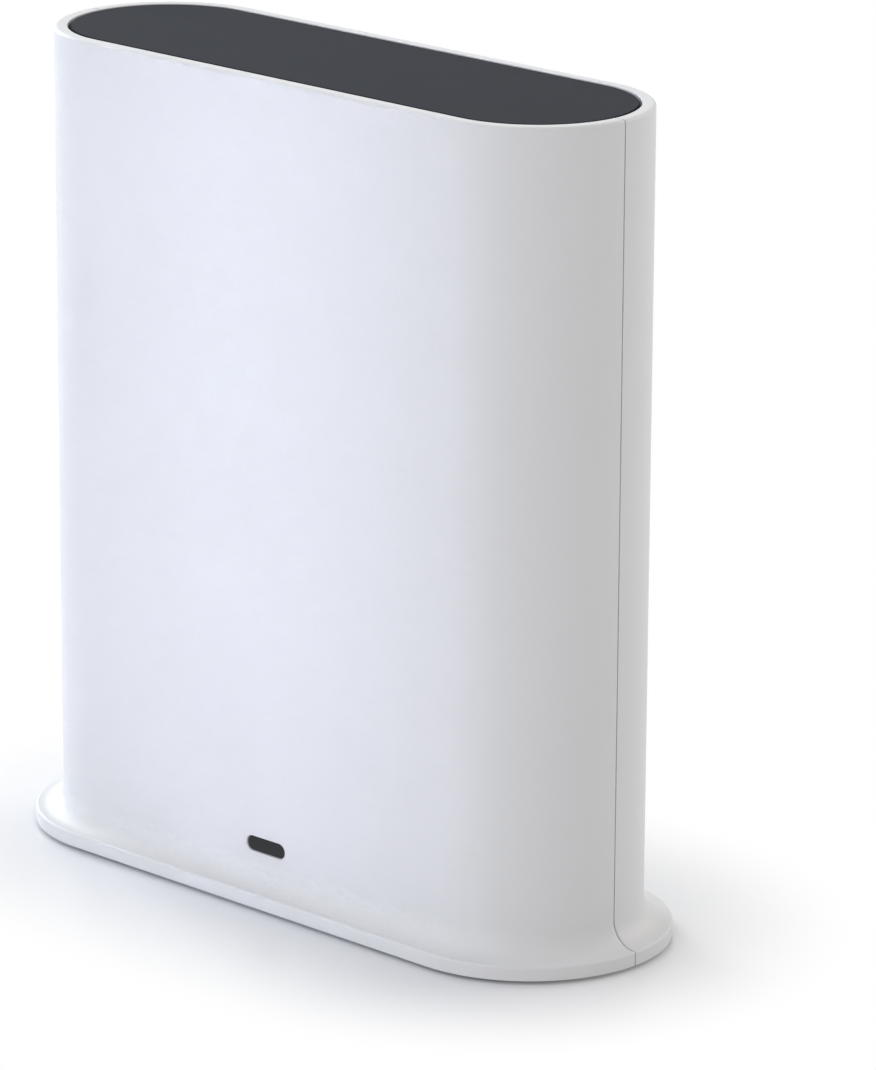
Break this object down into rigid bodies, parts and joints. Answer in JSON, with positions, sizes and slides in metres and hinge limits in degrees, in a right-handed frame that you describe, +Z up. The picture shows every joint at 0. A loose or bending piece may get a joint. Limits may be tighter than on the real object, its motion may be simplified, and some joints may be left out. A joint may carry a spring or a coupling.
{
  "type": "security camera base station",
  "caption": "Upright camera hub with round ends, flared foot, dark top panel, status window on the front and a rear port bay with sync button.",
  "frame": {"origin": "on the table, under the middle of the foot", "axes": "+Z up, +X along the length, the front face and its status window look to -Y, the port bay to +Y"},
  "size_m": [0.1214, 0.0446, 0.13],
  "materials": {
    "shell_plastic": "smooth white moulding with a soft sheen",
    "panel_plastic": "dark grey, fine satin",
    "base_plastic": "pale grey, fine grain",
    "foot_rubber": "matt black",
    "window_plastic": "smoked lens",
    "light_guide": "clear acrylic",
    "lamp": "phosphor lamp",
    "circuit_board": "green solder mask",
    "chip": "black epoxy",
    "steel": "zinc plated",
    "tinplate": "tinned sheet",
    "aluminium": "extruded",
    "gold_plate": "gold plated",
    "thermal_rubber": "soft grey silicone",
    "socket_plastic": "black moulding",
    "button_plastic": "pale grey moulding",
    "stem_plastic": "switch plunger",
    "capacitor_sleeve": "sleeved can",
    "ferrite": "moulded ferrite",
    "lead_sheath": "black sheath"
  },
  "bodies": {
    "housing": {"front_shell": "shell_plastic", "rear_shell": "shell_plastic", "top_panel": "panel_plastic", "base_plate": "base_plastic", "port_tray": "base_plastic", "rubber_foot": "foot_rubber", "status_window": "window_plastic", "light_pipe": "light_guide", "status_led": "lamp", "main_board": "circuit_board", "antenna_left": "circuit_board", "antenna_right": "circuit_board", "processor": "chip", "memory_chips": "chip", "flash_chip": "chip", "radio_chips": "chip", "ethernet_transformer": "chip", "sync_switch": "chip", "reset_switch": "chip", "base_screws": "steel", "board_screws": "steel", "heat_sink_screws": "steel", "power_jack_pin": "steel", "shield_can_left": "tinplate", "shield_can_right": "tinplate", "usb_port": "tinplate", "heat_sink": "aluminium", "ethernet_contacts": "gold_plate", "usb_contacts": "gold_plate", "antenna_connectors": "gold_plate", "thermal_pad": "thermal_rubber", "ethernet_jack": "socket_plastic", "power_jack": "socket_plastic", "usb_tongue": "socket_plastic", "antenna_carrier": "socket_plastic", "bulk_capacitors": "capacitor_sleeve", "power_inductors": "ferrite", "coax_left": "lead_sheath", "coax_right": "lead_sheath"},
    "sync_key": {"sync_button": "button_plastic", "sync_stem": "stem_plastic"},
    "reset_key": {"reset_plunger": "stem_plastic"}
  },
  "joints": [
    {"name": "sync_press", "type": "slide", "parent": "housing", "child": "sync_key", "axis": [0, -1, 0], "range_m": [0, 0.00035], "stiffness_N_per_m": 1500},
    {"name": "reset_press", "type": "slide", "parent": "housing", "child": "reset_key", "axis": [0, -1, 0], "range_m": [0, 0.00025], "stiffness_N_per_m": 1500}
  ]
}
